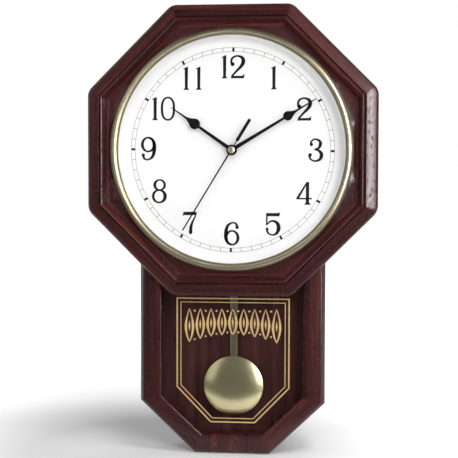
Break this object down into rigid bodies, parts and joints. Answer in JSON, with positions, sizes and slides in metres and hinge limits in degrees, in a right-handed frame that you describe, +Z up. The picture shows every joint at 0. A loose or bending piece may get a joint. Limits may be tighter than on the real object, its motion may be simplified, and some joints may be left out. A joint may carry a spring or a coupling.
{
  "type": "schoolhouse wall clock",
  "caption": "Drop-octagon wall clock: octagonal moulded wooden head with a brass bezel and white dial over a glazed trunk in which a brass pendulum swings.",
  "frame": {"origin": "the point on the wall plane where the keyhole plate hangs on its nail", "axes": "+Z up, +Y into the wall, the dial faces -Y, +X to the right seen from the front"},
  "size_m": [0.29, 0.0698, 0.452],
  "materials": {
    "wood": "satin dark mahogany foil with dark pores",
    "dark_wood": "matt dark stain",
    "fibreboard": "raw brown fibreboard",
    "brass": "polished lacquered brass",
    "steel": "bright zinc",
    "copper": "enamelled copper winding",
    "dial_white": "satin white enamel",
    "clear_glass": "clear polished",
    "hand_black": "satin black paint",
    "black_plastic": "fine matt moulding",
    "white_plastic": "natural acetal",
    "rubber": "matt",
    "magnet": "sintered ferrite",
    "circuit": "solder mask",
    "cell_sleeve": "plain plastic sleeve"
  },
  "bodies": {
    "case": {"head_rail_top": "wood", "head_rail_upper_right": "wood", "head_rail_right": "wood", "head_rail_lower_right": "wood", "head_rail_bottom": "wood", "head_rail_lower_left": "wood", "head_rail_left": "wood", "head_rail_upper_left": "wood", "head_backing_board": "fibreboard", "trunk_rail_right": "wood", "trunk_rail_left": "wood", "trunk_rail_lower_right": "wood", "trunk_rail_lower_left": "wood", "trunk_rail_foot": "wood", "trunk_board_right": "wood", "trunk_board_left": "wood", "trunk_board_lower_right": "wood", "trunk_board_lower_left": "wood", "trunk_board_foot": "wood", "top_board": "wood", "trunk_glass": "clear_glass", "glazing_bead_right": "dark_wood", "glazing_bead_left": "dark_wood", "back_panel": "fibreboard", "hanger_plate": "steel", "hanger_screw_left": "steel", "hanger_screw_right": "steel", "bezel_ring": "brass", "dial_glass": "clear_glass", "dial_pan": "dial_white", "dial_washer": "rubber", "ring_nut": "steel", "movement_housing": "black_plastic", "movement_cover": "black_plastic", "centre_bush": "brass", "stator": "steel", "motor_coil": "copper", "circuit_board": "circuit", "battery_contact_plus": "steel", "battery_contact_minus": "steel", "drive_coil": "copper"},
    "minute_arbor": {"cannon_pinion": "brass", "minute_hand": "hand_black"},
    "hour_arbor": {"hour_wheel": "white_plastic", "hour_hand": "hand_black"},
    "transfer_arbor": {"transfer_wheel": "white_plastic", "set_knob": "black_plastic"},
    "second_arbor": {"second_wheel": "white_plastic", "second_hand": "hand_black", "second_hand_cap": "brass"},
    "third_arbor": {"third_wheel": "white_plastic"},
    "centre_arbor": {"centre_wheel": "brass"},
    "reduction_arbor": {"reduction_wheel": "white_plastic"},
    "rotor_arbor": {"rotor": "magnet"},
    "pendulum": {"pendulum_hanger": "white_plastic", "drive_magnet": "magnet", "pendulum_rod": "brass", "bob_front": "brass", "bob_back": "brass"},
    "battery_cell": {"battery": "cell_sleeve"}
  },
  "joints": [
    {"name": "minute_hand_turn", "type": "hinge", "parent": "case", "child": "minute_arbor", "pos_m": [0, -0.04, -0.074], "axis": [0, 1, 0], "continuous": true},
    {"name": "hour_hand_turn", "type": "hinge", "parent": "case", "child": "hour_arbor", "pos_m": [0, -0.04, -0.074], "axis": [0, 1, 0], "continuous": true},
    {"name": "transfer_wheel_turn", "type": "hinge", "parent": "case", "child": "transfer_arbor", "pos_m": [0, -0.04, -0.062], "axis": [0, 1, 0], "continuous": true},
    {"name": "second_hand_turn", "type": "hinge", "parent": "case", "child": "second_arbor", "pos_m": [0, -0.04, -0.074], "axis": [0, 1, 0], "continuous": true},
    {"name": "third_wheel_turn", "type": "hinge", "parent": "case", "child": "third_arbor", "pos_m": [0.0097, -0.04, -0.0796], "axis": [0, 1, 0], "continuous": true},
    {"name": "centre_wheel_turn", "type": "hinge", "parent": "case", "child": "centre_arbor", "pos_m": [0, -0.04, -0.074], "axis": [0, 1, 0], "continuous": true},
    {"name": "reduction_wheel_turn", "type": "hinge", "parent": "case", "child": "reduction_arbor", "pos_m": [-0.0097, -0.04, -0.0796], "axis": [0, 1, 0], "continuous": true},
    {"name": "rotor_turn", "type": "hinge", "parent": "case", "child": "rotor_arbor", "pos_m": [-0.01759, -0.04, -0.08247], "axis": [0, 1, 0], "continuous": true},
    {"name": "pendulum_swing", "type": "hinge", "parent": "case", "child": "pendulum", "pos_m": [0, -0.026, -0.13], "axis": [0, 1, 0], "range_deg": [-8, 8]},
    {"name": "battery_removal", "type": "slide", "parent": "case", "child": "battery_cell", "axis": [0, 1, 0], "range_m": [0, 0.03]}
  ],
  "couplings": [
    {"joint": "hour_hand_turn", "follows": "minute_hand_turn", "ratio": 0.083333},
    {"joint": "transfer_wheel_turn", "follows": "minute_hand_turn", "ratio": -0.33333},
    {"joint": "third_wheel_turn", "follows": "second_hand_turn", "ratio": -0.16667},
    {"joint": "centre_wheel_turn", "follows": "second_hand_turn", "ratio": 0.016667},
    {"joint": "reduction_wheel_turn", "follows": "second_hand_turn", "ratio": -6},
    {"joint": "rotor_turn", "follows": "second_hand_turn", "ratio": 30}
  ]
}
